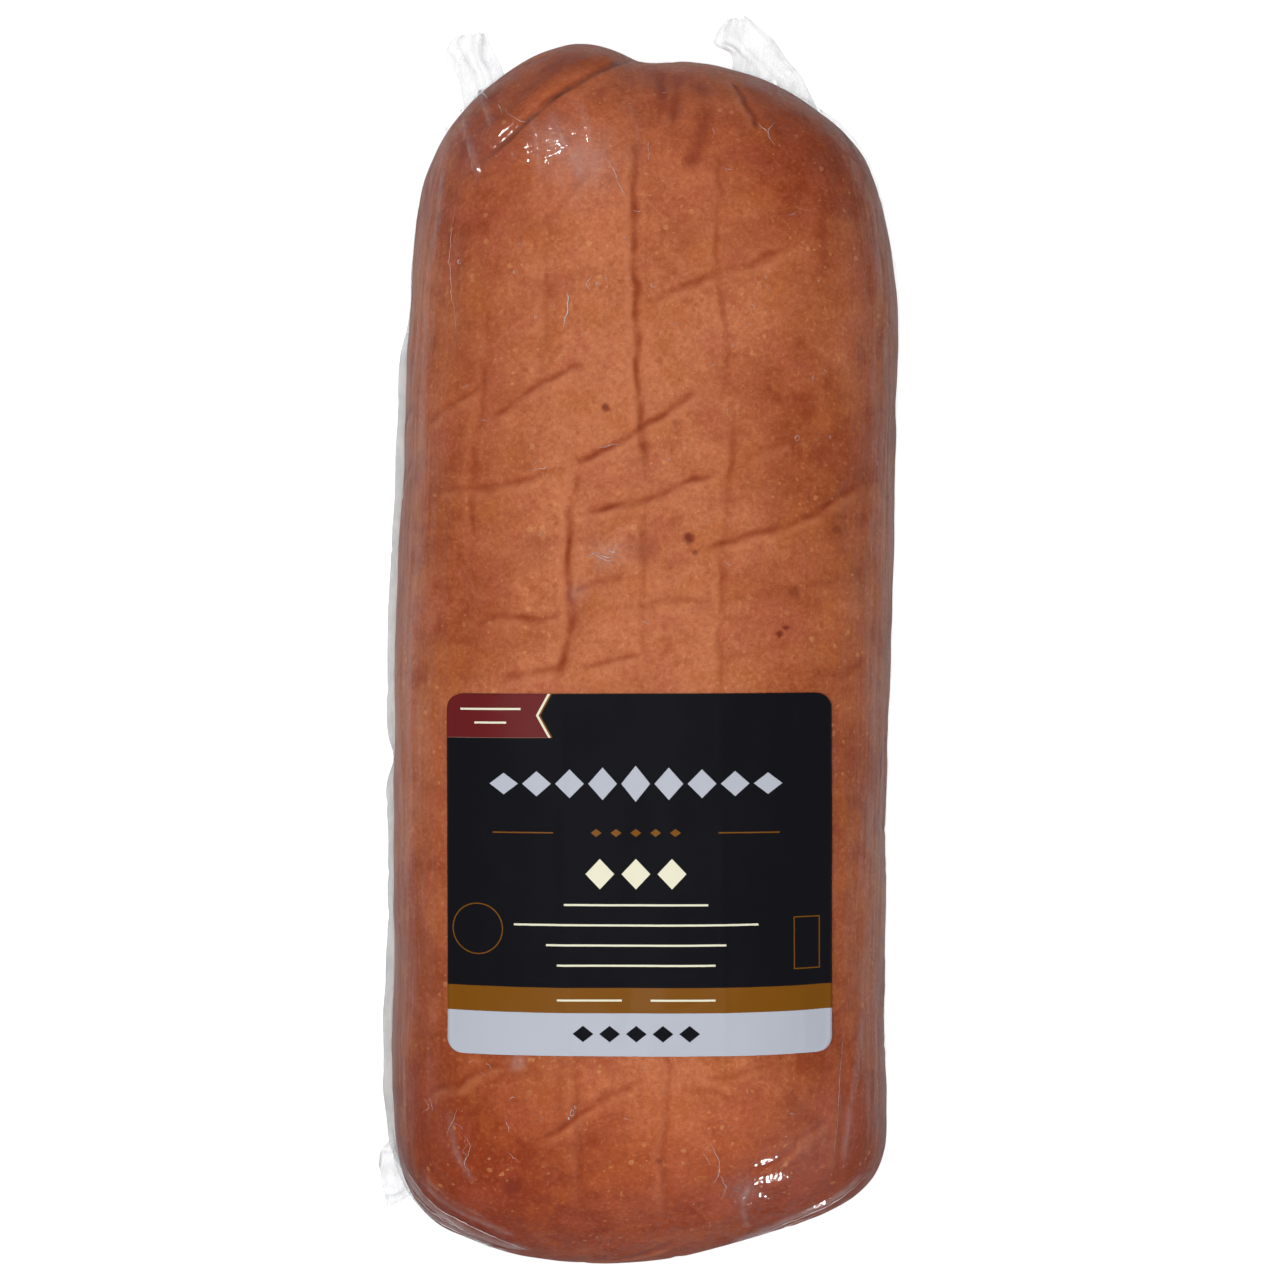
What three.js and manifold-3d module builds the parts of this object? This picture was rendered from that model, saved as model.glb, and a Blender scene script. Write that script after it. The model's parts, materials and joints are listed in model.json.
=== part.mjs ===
// A smoked ham log in a clear vacuum pack, lying on its flattened back with its printed label up.
// Four pieces: the ham, the upper and lower webs of film that are heat-sealed round it at mid-height,
// and the label stuck to the upper web. Millimetres, +Z up, +Y towards the blunt end away from the label.
import * as THREE from "three";
import Module from "manifold-3d";

const wasm = await Module();
wasm.setup();

// ---- Driving dimensions ----

const FILM = 0.5; // thickness of one web of film
const GAP = 0.3; // clearance between touching pieces
const BASE = FILM + GAP; // the ham's underside lies this high, on the lower web
const SEAM_Z = 58; // height of the seal between the two webs
const CROWN = 60; // rise of the ham above the seam
const BELLY = 61; // depth below the seam that the ham would have if its back were not flattened
const SPINE_END = 108; // the ham's crown runs level from -SPINE_END to +SPINE_END
const SIDE_ROUND = 3.2; // superellipse exponent of the section at the sides: nearly square shoulders
const END_ROUND = 2.35; // the same at the two ends: a softer dome
const POINTS_PER_SPAN = 2; // points in each ring for each stretch of the outline

const SEAL_WIDTH = 1.2; // trimmed seal round most of the pack
const FIN_WIDTH = 3.2; // wider seal left standing along the left side
const FIN_FROM = -150; // stretch of the left side that carries the wide seal
const FIN_TO = 104;
const FIN_FADE = 14;

const LABEL_WIDTH = 108;
const LABEL_LENGTH = 100.6;
const LABEL_Y = -61.7; // middle of the label
const LABEL_X = 0.5;
const LABEL_CORNER = 4.5;
const LABEL_CORNER_ANGLES = [0, 30, 60, 90]; // points on each round corner
const LABEL_COLUMNS = 18;
const LABEL_THICK = 0.4;

// Plan outline of the ham, anticlockwise from the notch between the two lobes at the blunt end.
const OUTLINE = [
  [-5, 177.2], [-17.5, 182.7], [-32.5, 181.2], [-47, 171.6], [-58, 162], [-67.2, 147.5],
  [-71, 130], [-72.3, 100], [-73.7, 50], [-73.6, -20], [-72.8, -80], [-72, -135],
  [-69.8, -153], [-64.6, -165.6], [-55, -174], [-28, -181.6], [-1, -183.4], [20.5, -180],
  [56, -166.8], [71.5, -157], [77, -146], [77.6, -133], [75.8, -112], [74.8, -60], [74, 0],
  [74.4, 70], [73.3, 112], [69.6, 133], [64.6, 147.2], [55.2, 158.6], [40, 169.4],
  [25, 176], [10, 178.9],
];

// Corners of the seal that stand out as ears, as plan outlines that run in under the seal.
const EARS = [
  [[50, 160], [51, 167], [45.5, 173.5], [43, 178.5], [35, 187.5], [26.5, 194], [20.5, 192],
    [17.5, 187], [23, 181.5], [24, 172]],
  [[-46, 166], [-52.5, 176], [-52.6, 184], [-57, 188], [-63, 185], [-60, 179], [-59.5, 170],
    [-54, 160]],
  [[-66, -152], [-74.6, -157], [-75.2, -163], [-71.8, -169], [-67.5, -168], [-60, -162]],
];

const SIDEWAYS = 0.9; // a spoke counts as one of a side's when its sideways share is above this

// ---- The ham's form ----

const outlineCurve = new THREE.CatmullRomCurve3(
  OUTLINE.map(([x, y]) => new THREE.Vector3(x, y, 0)), true, "centripetal",
);

// One spoke for each point of the outline: its foot on the spine, its direction and length,
// and how round the surface is along it. The points lie closer where the outline turns.
const spokes = outlineCurve.getPoints(OUTLINE.length * POINTS_PER_SPAN).slice(1).map((rim) => {
  const foot = new THREE.Vector3(0, THREE.MathUtils.clamp(rim.y, -SPINE_END, SPINE_END), 0);
  const reach = rim.clone().sub(foot);
  const length = reach.length();
  const out = reach.divideScalar(length);
  const round = THREE.MathUtils.lerp(SIDE_ROUND, END_ROUND, out.y * out.y);
  return { foot, out, length, round, rim };
});

// A point of the ham's surface, moved out by offset. angle is 0 at the seam, 90 at the crown
// and -90 at the back, in degrees.
function surfacePoint(spoke, angle, offset) {
  const turn = THREE.MathUtils.degToRad(Math.abs(angle));
  const share = Math.cos(turn) ** (2 / spoke.round);
  const rise = Math.sin(turn) ** (2 / spoke.round);
  const height = angle >= 0 ? CROWN : BELLY;
  const normal = new THREE.Vector2(
    share ** (spoke.round - 1) / spoke.length, rise ** (spoke.round - 1) / height,
  ).normalize();
  const across = spoke.length * share + normal.x * offset;
  const up = height * rise + normal.y * offset;
  const z = angle >= 0 ? SEAM_Z + up : Math.max(SEAM_Z - up, BASE - offset);
  return spoke.foot.clone().addScaledVector(spoke.out, across).setZ(z);
}

function surfaceRing(angle, offset) {
  return spokes.map((spoke) => surfacePoint(spoke, angle, offset));
}

// Width of the seal at a spoke: trimmed close, but left wide along the left side.
function sealWidth({ out, rim }) {
  const rise = THREE.MathUtils.smoothstep(rim.y, FIN_FROM - FIN_FADE, FIN_FROM + FIN_FADE);
  const fall = 1 - THREE.MathUtils.smoothstep(rim.y, FIN_TO - FIN_FADE, FIN_TO + FIN_FADE);
  const left = THREE.MathUtils.smoothstep(-out.x, 0.7, 0.95);
  return SEAL_WIDTH + (FIN_WIDTH - SEAL_WIDTH) * rise * fall * left;
}

function sealRing(z, wide) {
  return spokes.map((spoke) => {
    const across = spoke.length + GAP + FILM + (wide ? sealWidth(spoke) : 0);
    return spoke.foot.clone().addScaledVector(spoke.out, across).setZ(z);
  });
}

const UPPER_ANGLES = [5, 12, 21, 32, 45, 58, 70, 79, 85, 88.4];
const LOWER_ANGLES = [-5, -12, -21, -32, -45, -58, -70, -80, -87];

// ---- Geometry helpers ----

// Joins rings of equal length into one closed surface with a cap on the first and last ring.
// The rings run anticlockwise seen from above; the first cap faces down and the last one up.
function closedLoft(rings) {
  const count = rings[0].length;
  const index = [];
  for (let k = 0; k < rings.length - 1; k++) {
    for (let j = 0; j < count; j++) {
      const next = (j + 1) % count;
      const [a, b, c, d] = [k * count + j, k * count + next, (k + 1) * count + next, (k + 1) * count + j];
      index.push(a, b, c, a, c, d);
    }
  }
  const top = (rings.length - 1) * count;
  const flat = (ring) => ring.map((p) => new THREE.Vector2(p.x, p.y));
  for (const [a, b, c] of THREE.ShapeUtils.triangulateShape(flat(rings[0]), [])) {
    index.push(a, c, b);
  }
  for (const [a, b, c] of THREE.ShapeUtils.triangulateShape(flat(rings.at(-1)), [])) {
    index.push(top + a, top + b, top + c);
  }
  const geometry = new THREE.BufferGeometry().setFromPoints(rings.flat());
  geometry.setIndex(index);
  return geometry;
}

function toSolid(geometry) {
  const { position } = geometry.attributes;
  return new wasm.Manifold(new wasm.Mesh({
    numProp: 3,
    vertProperties: new Float32Array(position.array),
    triVerts: new Uint32Array(geometry.index.array),
  }));
}

function toGeometry(solid) {
  const { vertProperties, triVerts } = solid.getMesh();
  const geometry = new THREE.BufferGeometry();
  geometry.setAttribute("position", new THREE.BufferAttribute(vertProperties, 3));
  geometry.setIndex(new THREE.BufferAttribute(triVerts, 1));
  return geometry;
}

// A flat plate with the given plan outline, from height low to height low + FILM.
function plate(points, low) {
  const ring = (z) => points.map(([x, y]) => new THREE.Vector3(x, y, z));
  return toSolid(closedLoft([ring(low), ring(low + FILM)]));
}

// ---- The pieces ----

// The ham's closed surface, moved out by offset.
function hamGeometry(offset = 0) {
  const lower = LOWER_ANGLES.toReversed().map((angle) => surfaceRing(angle, offset));
  const upper = UPPER_ANGLES.map((angle) => surfaceRing(angle, offset));
  return closedLoft([...lower, surfaceRing(0, offset), ...upper]);
}

// A web of film with its share of the ears joined on, cut clear of the ham. sealLow is the underside
// of its seal.
function webWithEars(shell, sealLow) {
  const hamAndGap = toSolid(hamGeometry(GAP));
  const ears = EARS.map((outline) => plate(outline, sealLow).subtract(hamAndGap));
  return toGeometry(ears.reduce((whole, ear) => whole.add(ear), toSolid(shell)));
}

function upperFilmGeometry() {
  const sealLow = SEAM_Z + GAP / 2;
  const inner = UPPER_ANGLES.toReversed().map((angle) => surfaceRing(angle, GAP));
  const seal = [
    surfaceRing(0, GAP).map((p) => p.setZ(sealLow)),
    sealRing(sealLow, true),
    sealRing(sealLow + FILM, true),
    sealRing(sealLow + FILM, false),
  ];
  const outer = UPPER_ANGLES.map((angle) => surfaceRing(angle, GAP + FILM));
  return webWithEars(closedLoft([...inner, ...seal, ...outer]), sealLow);
}

function lowerFilmGeometry() {
  const sealHigh = SEAM_Z - GAP / 2;
  const sealLow = sealHigh - FILM;
  const outer = LOWER_ANGLES.toReversed().map((angle) => surfaceRing(angle, GAP + FILM));
  const seal = [
    sealRing(sealLow, false),
    sealRing(sealLow, true),
    sealRing(sealHigh, true),
    surfaceRing(0, GAP).map((p) => p.setZ(sealHigh)),
  ];
  const inner = LOWER_ANGLES.map((angle) => surfaceRing(angle, GAP));
  return webWithEars(closedLoft([...outer, ...seal, ...inner]), sealLow);
}

// How far the ham reaches sideways from its middle line at y, on the side that sign gives.
function reachAt(y, sign) {
  const side = spokes.filter(({ out }) => out.x * sign > SIDEWAYS).map(({ rim }) => rim);
  side.sort((a, b) => a.y - b.y);
  const above = side.findIndex((rim) => rim.y > y);
  const [low, high] = [side[above - 1], side[above]];
  return sign * THREE.MathUtils.mapLinear(y, low.y, high.y, low.x, high.x);
}

// Height of a surface that lies offset outside the ham, over its level crown.
function crownHeight(x, y, offset) {
  const share = Math.abs(x) / (reachAt(y, x < 0 ? -1 : 1) + offset);
  return SEAM_Z + (CROWN + offset) * (1 - share ** SIDE_ROUND) ** (1 / SIDE_ROUND);
}

// The label's rows: where each lies along the label, and how much its round corners take off its ends.
function labelRows() {
  const corner = LABEL_CORNER_ANGLES.map((angle) => {
    const turn = THREE.MathUtils.degToRad(angle);
    return {
      along: LABEL_LENGTH / 2 - LABEL_CORNER * (1 - Math.sin(turn)),
      trim: LABEL_CORNER * (1 - Math.cos(turn)),
    };
  });
  const other = corner.map(({ along, trim }) => ({ along: -along, trim }));
  return [...other.reverse(), { along: 0, trim: 0 }, ...corner];
}

// The label is a sheet bent over the crown. Each ring goes out along its underside and back over it.
function labelGeometry() {
  const rings = labelRows().map(({ along, trim }) => {
    const y = LABEL_Y + along;
    const under = [];
    const over = [];
    for (let column = 0; column <= LABEL_COLUMNS; column++) {
      const x = LABEL_X + (LABEL_WIDTH / 2 - trim) * (2 * column / LABEL_COLUMNS - 1);
      const low = crownHeight(x, y, 2 * GAP + FILM);
      under.push(new THREE.Vector3(x, y, low));
      over.push(new THREE.Vector3(x, y, low + LABEL_THICK));
    }
    return [...under, ...over.reverse()];
  });
  const count = rings[0].length;
  const last = (rings.length - 1) * count;
  const index = [];
  for (let k = 0; k < last; k += count) {
    for (let j = 0; j < count; j++) {
      const next = (j + 1) % count;
      index.push(k + j, k + count + next, k + next, k + j, k + count + j, k + count + next);
    }
  }
  for (let j = 0; j < LABEL_COLUMNS; j++) {
    const [a, b, c, d] = [j, j + 1, count - 2 - j, count - 1 - j];
    index.push(a, b, c, a, c, d);
    index.push(last + a, last + c, last + b, last + a, last + d, last + c);
  }
  const geometry = new THREE.BufferGeometry().setFromPoints(rings.flat());
  geometry.setIndex(index);
  return geometry;
}

// ---- Materials and assembly ----

const MEAT = { color: 0xb06a46, roughness: 0.55, metalness: 0 };
const CLEAR_FILM = { color: 0xf4f4f8, roughness: 0.12, metalness: 0, transparent: true, opacity: 0.2 };
const PRINTED_LABEL = { color: 0x1d1c22, roughness: 0.35, metalness: 0 };

function piece(name, geometry, finish) {
  const mesh = new THREE.Mesh(geometry, new THREE.MeshStandardMaterial(finish));
  mesh.name = name;
  return mesh;
}

const pack = new THREE.Group();
pack.add(piece("ham", hamGeometry(), MEAT));
pack.add(piece("upper_film", upperFilmGeometry(), CLEAR_FILM));
pack.add(piece("lower_film", lowerFilmGeometry(), CLEAR_FILM));
pack.add(piece("label", labelGeometry(), PRINTED_LABEL));

// The origin is the middle of the pack's footprint, on the surface that it lies on.
const middle = new THREE.Box3().setFromObject(pack).getCenter(new THREE.Vector3());
pack.position.set(-middle.x, -middle.y, 0);

export default pack;
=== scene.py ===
# %% [markdown]
# A smoked ham in its clear vacuum pack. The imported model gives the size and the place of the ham,
# of the two webs of film and of the label. This script makes the surfaces that the eye sees: the
# pressed meat with the marks of its mould net, the film drawn tight over it, the crumpled corners
# of the seal, and the printed label. Lengths are written in millimetres and turned to metres by MM.

# %% Load the frame
import json
import math
import random

import bmesh
import bpy
import numpy as np
from mathutils import Matrix, Vector, noise
from mathutils.bvhtree import BVHTree

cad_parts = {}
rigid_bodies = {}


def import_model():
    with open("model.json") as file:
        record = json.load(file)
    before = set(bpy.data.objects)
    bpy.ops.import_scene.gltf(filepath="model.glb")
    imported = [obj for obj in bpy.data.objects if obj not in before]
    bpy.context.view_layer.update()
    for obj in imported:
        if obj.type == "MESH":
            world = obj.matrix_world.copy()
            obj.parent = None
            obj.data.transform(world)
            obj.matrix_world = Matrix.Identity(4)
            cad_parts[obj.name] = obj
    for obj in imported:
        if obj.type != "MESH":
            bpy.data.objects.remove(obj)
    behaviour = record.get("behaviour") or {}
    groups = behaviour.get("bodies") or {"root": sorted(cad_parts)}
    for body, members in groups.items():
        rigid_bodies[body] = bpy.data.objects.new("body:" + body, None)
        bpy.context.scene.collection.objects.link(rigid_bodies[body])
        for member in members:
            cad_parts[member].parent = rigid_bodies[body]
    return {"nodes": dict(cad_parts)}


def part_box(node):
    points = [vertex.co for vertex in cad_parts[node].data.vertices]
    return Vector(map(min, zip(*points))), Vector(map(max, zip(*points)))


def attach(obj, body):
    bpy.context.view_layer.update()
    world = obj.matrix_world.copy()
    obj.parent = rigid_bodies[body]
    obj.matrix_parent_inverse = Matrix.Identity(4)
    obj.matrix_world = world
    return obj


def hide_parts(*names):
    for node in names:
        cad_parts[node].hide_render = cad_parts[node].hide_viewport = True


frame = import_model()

MM = 0.001
noise.seed_set(7)  # so that noise vectors are the same in every run
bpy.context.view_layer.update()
ham_low, ham_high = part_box("ham")
film_low, film_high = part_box("upper_film")
label_low, label_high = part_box("label")
SEAM = film_low.z - 0.15 * MM  # the two webs are sealed together at this height
print("nodes", sorted(frame["nodes"]), "seam at", round(SEAM / MM, 2), "mm")

# %% [markdown]
# The pack lies on a white table in a white studio, and the camera looks straight down on it from
# about 0.7 m, turned a little, so the log leans. One large soft box lights the meat, and two small
# ones give the film its glints. Film mirrors what stands round it, so the table and the air are
# kept grey for reflections: that gives calm pale bands along both sides and leaves the crown and
# both ends clear. Towards both ends the table is painted dark grey, a painted shade standing in for
# the dark room. Seen directly both are plain white: the table glows for the camera only, and that
# glow is dimmed a little where the ham overhangs it, a painted soft shadow.

# %% Camera
CAMERA_RISE = 690 * MM  # above the seam
FRAME_HEIGHT = 389 * MM  # height of the view at the seam
LEAN = math.radians(1.36)
AIM = Vector((-1.8 * MM, -0.45 * MM, SEAM))

camera_data = bpy.data.cameras.new("camera")
camera_data.sensor_width = 36
camera_data.lens = camera_data.sensor_width * CAMERA_RISE / FRAME_HEIGHT
camera = bpy.data.objects.new("camera", camera_data)
camera.location = AIM + Vector((0, 0, CAMERA_RISE))
camera.rotation_euler = (0, 0, LEAN)
bpy.context.scene.collection.objects.link(camera)
bpy.context.scene.camera = camera

# %% Studio
def mesh_from(bm, name):
    """The new mesh that a bmesh makes; the bmesh is then freed."""
    mesh = bpy.data.meshes.new(name)
    bm.to_mesh(mesh)
    bm.free()
    return mesh


def soft_box(name, place, aim, side, power, mirrored):
    """A square studio light turned towards aim, in millimetres. mirrored says if gloss shows it."""
    lamp = bpy.data.lights.new(name, "AREA")
    lamp.size = side * MM
    lamp.energy = power
    light = bpy.data.objects.new(name, lamp)
    light.location = Vector(place) * MM
    light.rotation_euler = (Vector(aim) * MM - light.location).to_track_quat("-Z", "Y").to_euler()
    light.visible_glossy = mirrored
    bpy.context.scene.collection.objects.link(light)


soft_box("overhead_light", (-150, -120, 1500), (0, 0, 0), 750, 24.3, False)
soft_box("far_spark", (-400, 750, 640), (0, 0, 60), 40, 1.3, True)
soft_box("near_spark", (330, -1000, 440), (30, -160, 90), 34, 1.9, True)

bpy.context.scene.view_settings.view_transform = "Standard"

bm = bmesh.new()
bmesh.ops.create_grid(bm, x_segments=1, y_segments=1, size=3.0)
table_mesh = mesh_from(bm, "table_top")
table_top = bpy.data.objects.new("table_top", table_mesh)
bpy.context.scene.collection.objects.link(table_top)

# %% [markdown]
# Every material here is a net of nodes. Small helpers keep the nets readable: one adds a node and
# feeds its inputs, and the others blend colours, turn a range of values into a mask, do sums, read
# the values that a mesh carries and make soft noise. Most find the net through a socket's id_data.

# %% Node helpers
def add(tree, kind, inputs=None, **settings):
    """Adds a shader node. Inputs are numbers, colours or the sockets that feed them."""
    made = tree.nodes.new("ShaderNode" + kind)
    for name, value in settings.items():
        setattr(made, name, value)
    for key, value in (inputs or {}).items():
        if isinstance(value, bpy.types.NodeSocket):
            tree.links.new(value, made.inputs[key])
        else:
            made.inputs[key].default_value = value
    return made


def blend(factor, first, second, how="MIX"):
    """The colour that lies between first and second by factor."""
    def colour(value):
        return value if isinstance(value, bpy.types.NodeSocket) else (*value, 1)

    made = add(factor.id_data, "Mix", {0: factor, 6: colour(first), 7: colour(second)},
               data_type="RGBA", blend_type=how)
    return made.outputs[2]


def mask(value, low, high, to_low=0.0, to_high=1.0):
    """Turns value from low to high into a soft step from to_low to to_high."""
    made = add(value.id_data, "MapRange", {0: value, 1: low, 2: high, 3: to_low, 4: to_high},
               interpolation_type="SMOOTHSTEP")
    return made.outputs[0]


def sums(how, first, second=0.0, third=0.0):
    """One step of arithmetic on values, of which the first or the second is a socket."""
    socket = first if isinstance(first, bpy.types.NodeSocket) else second
    return add(socket.id_data, "Math", {0: first, 1: second, 2: third}, operation=how).outputs[0]


def times(first, second):
    return sums("MULTIPLY", first, second)


def apart(value, middle=0.0):
    """How far value lies from middle, on either side."""
    return sums("ABSOLUTE", sums("SUBTRACT", value, middle))


def stored(tree, name):
    """The value that the mesh carries under this name."""
    return add(tree, "Attribute", attribute_name=name).outputs["Fac"]


def new_material(name):
    """An empty material with its output, and its tree."""
    material = bpy.data.materials.new(name)
    material.use_nodes = True
    tree = material.node_tree
    tree.nodes.clear()
    return material, tree, tree.nodes.new("ShaderNodeOutputMaterial")


def millimetres(tree, stretch=(1, 1, 1)):
    """Object coordinates in millimetres, stretched along the axes."""
    coords = add(tree, "TexCoord").outputs["Object"]
    return add(tree, "Mapping", {0: coords, 3: Vector(stretch) * 1000}).outputs[0]


def cloud(where, size, detail=4.0, rough=0.55, offset=0.0):
    """Soft noise whose blobs are about size across, in the units of where."""
    if offset:
        where = add(where.id_data, "VectorMath", {0: where, 1: (offset,) * 3}).outputs[0]
    return add(where.id_data, "TexNoise", {"Vector": where, "Scale": 1 / size, "Detail": detail,
                                           "Roughness": rough}).outputs["Fac"]


# %% White table
material, tree, out = new_material("white_table")
grain = cloud(millimetres(tree), 30)
colour = blend(grain, (0.58, 0.58, 0.58), (0.62, 0.62, 0.62))
along = add(tree, "SeparateXYZ", {0: millimetres(tree)}).outputs[1]
# painted shade: towards both ends the table is dark grey, standing in for the dark room in
# reflections and bounce light
colour = blend(mask(apart(along, 40), 140, 330), colour, (0.16, 0.16, 0.17))
seen = add(tree, "LightPath").outputs["Is Camera Ray"]
colour = blend(seen, colour, (0.14, 0.14, 0.14))
# painted soft shadow: ambient occlusion dims the camera-only glow where the ham overhangs the table
open_air = add(tree, "AmbientOcclusion", {"Distance": 20 * MM}, samples=6).outputs["AO"]
camera_glow_with_painted_shadow = times(seen, mask(open_air, 0.1, 0.95, 0.5, 1.02))
shader = add(tree, "BsdfPrincipled", {
    "Base Color": colour, "Roughness": 0.7,
    "Emission Color": (1, 1, 1, 1), "Emission Strength": camera_glow_with_painted_shadow,
})
tree.links.new(shader.outputs[0], out.inputs[0])
table_mesh.materials.append(material)

# %% Studio air
world = bpy.data.worlds.new("studio_air")
world.use_nodes = True
tree = world.node_tree
way = add(tree, "SeparateXYZ", {0: add(tree, "TexCoord").outputs["Generated"]})
endwise = mask(apart(way.outputs[1]), 0.35, 0.85)
horizon = sums("MULTIPLY_ADD", endwise, -0.22, 0.4)
level = mask(way.outputs[2], 0.5, 0.05, 0.1, horizon)
seen = add(tree, "LightPath").outputs["Is Camera Ray"]
strength = sums("MAXIMUM", level, times(seen, 1.1))
tree.links.new(strength, tree.nodes["Background"].inputs["Strength"])
tree.nodes["Background"].inputs["Color"].default_value = (0.95, 0.97, 1.0, 1)
bpy.context.scene.world = world

# %% [markdown]
# The ham was pressed in a mould, so it is one smooth body with nearly square shoulders. The packed
# model has its true size but only a few large faces. A copy of it is joined up, rounded by
# subdivision and then remeshed into even small quads. Even quads matter here: every crease and lump
# is pushed into the surface afterwards, and has to find enough vertices wherever it falls.

# %% Smooth body of the ham
QUAD = 1.75 * MM  # size of the quads that carry the relief


def merged_copy(node):
    """A new mesh object with the shape of a CAD node, its loose triangles joined into quads."""
    bm = bmesh.new()
    bm.from_mesh(frame["nodes"][node].data)
    bmesh.ops.remove_doubles(bm, verts=bm.verts, dist=0.01 * MM)
    bmesh.ops.join_triangles(bm, faces=bm.faces,
                             angle_face_threshold=0.7, angle_shape_threshold=1.6)
    copy = bpy.data.objects.new(node + "_copy", mesh_from(bm, node + "_copy"))
    bpy.context.scene.collection.objects.link(copy)
    return copy


def settle(piece):
    """Makes what the piece's modifiers show its real mesh."""
    depsgraph = bpy.context.evaluated_depsgraph_get()
    made = bpy.data.meshes.new_from_object(piece.evaluated_get(depsgraph))
    piece.modifiers.clear()
    piece.data = made


def finished(mesh, name, material):
    """A shown piece of the object: smooth, in its material, riding on the one body."""
    piece = bpy.data.objects.new(name, mesh)
    mesh.name = name
    bpy.context.scene.collection.objects.link(piece)
    mesh.shade_smooth()
    mesh.materials.clear()
    mesh.materials.append(material)
    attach(piece, "root")
    return piece


body = merged_copy("ham")
rounding = body.modifiers.new("rounding", "SUBSURF")
rounding.levels = rounding.render_levels = 2
settle(body)
remesh = body.modifiers.new("even_quads", "REMESH")
remesh.mode = "VOXEL"
remesh.voxel_size = QUAD
easing = body.modifiers.new("easing", "SMOOTH")
easing.factor = 0.5
easing.iterations = 6
settle(body)
body_mesh = body.data
bpy.data.objects.remove(body)
print("ham body:", len(body_mesh.polygons), "quads")

# %% [markdown]
# The mould net leaves creases: long ones that run down the log, and shorter ones that slant across
# it. Each is a line of a few points in plan, with a strength. Nothing is drawn with them yet. For
# every vertex the nearest crease gives a signed distance, negative on its lower side. A distance
# that changes evenly over the surface can be read between vertices, so the material can draw a
# crease far finer than the quads. Lengthwise and slanting creases are kept apart, because a vertex
# near a crossing has to know both.

# %% Creases seen from above
LENGTHWISE = [  # strength, then across and along of each point in turn
    (1.0, -6, 146, -6, 122, -5, 94, -3, 61, -1, 42),
    (0.45, 17, 140, 18, 120, 17, 106, 20, 86, 21, 66),
    (0.5, 23, 69, 23, 56, 22, 39, 21, 22, 21, 0, 21, -18),
    (0.4, -46, 96, -47, 71, -50, 46, -49, 21),
    (0.85, -19, 49, -22, 31, -22, 14, -21, 6, -25, -17), (0.3, 0, 44, -1, 33, -1, 5, 1, -14),
    (0.3, -31, 132, -30, 119, -30, 93, -31, 60), (0.4, -17, -108, -16, -137, -14, -164),
    (0.4, 9, -108, 9, -133, 8, -146, 10, -169), (0.3, 59, -112, 59, -135, 57, -157),
    (0.5, 1, 166, 1, 153), (0.35, 5, 163, 4, 144), (0.9, 21, 163, 24, 156, 27, 150, 28, 143),
]
SLANTING = [
    (0.75, -3, 93, 6, 97, 14, 101, 27, 105, 40, 112), (0.35, -36, 112, -27, 120, -19, 131),
    (0.6, -64, 59, -57, 65, -47, 70), (0.7, -47, 60, -37, 66, -30, 71, -17, 77),
    (0.8, -24, 47, -14, 52, -6, 56, -2, 59, 8, 66, 13, 70),
    (0.55, -62, 41, -48, 41, -37, 43, -30, 45, -21, 46),
    (0.9, -19, 35, -8, 37, 2, 40, 9, 43, 20, 47),
    (0.8, 12, 24, 25, 28, 36, 32, 45, 36, 52, 40, 62, 47), (0.65, -21, 12, -14, 15, -5, 18),
    (0.7, -48, 3, -42, 5, -32, 5, -22, 7), (0.6, -20, -8, -9, -6, 0, -4),
    (0.6, -41, -12, -33, -10, -23, -9), (0.35, -16, 8, -1, 9, 10, 11, 21, 10),
    (0.3, 21, -4, 31, -3, 42, 0), (0.45, 52, -10, 59, -7, 63, -3), (0.45, 25, 50, 34, 54, 39, 57),
    (0.25, 20, 11, 40, 15, 58, 19), (0.85, -28, -142, -17, -134, -8, -128, 5, -120),
    (0.7, -61, -133, -56, -128, -49, -126, -45, -122, -36, -118),
    (0.5, 30, -150, 40, -146, 48, -138, 56, -133), (0.35, 12, -125, 24, -126, 28, -130),
    (0.4, 18, -123, 29, -120, 40, -116),
]
LOBE_FOLD = (1.0, -52, 133, -45, 139, -38, 146, -31, 153, -22, 160, -13, 166, -4, 174)
STREAKS = [  # soft dark red streaks of smoke
    (0.75, 10, 163, 13, 151, 11.5, 140, 7, 130), (1.0, -70, -154, -62, -166, -51, -174, -34, -179),
    (0.9, -65, -154, -56, -164, -44, -171, -30, -176), (0.7, -0.5, 168, 0, 157, 0.5, 146),
    (0.6, 5, 166, 4.5, 154, 4, 142), (0.7, -53, 144, -56, 136, -58, 127),
    (0.7, -44, 152, -33, 161, -20, 168), (0.6, -41, 156, -30, 165, -18, 171),
    (0.5, -12, 160, -20, 152, -30, 145), (0.5, 24, 165, 30, 156, 33, 146),
    (0.5, 44, 152, 50, 140, 52, 126), (0.5, -63, -120, -62, -133, -58, -146),
    (0.5, -46, -163, -36, -166, -24, -168), (0.35, -40, 30, -30, 26, -18, 27, -6, 24, 6, 26),
    (0.3, -60, 52, -60, 30, -59, 6),
]

# %% [markdown]
# The net also marked the sides, the ends and the back. Those marks follow no plan that matters, so
# a seeded draw places them: lengthwise ones at a fairly even spacing, slanting ones between them.

# %% Creases on the other faces
draw = random.Random(11)


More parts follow.
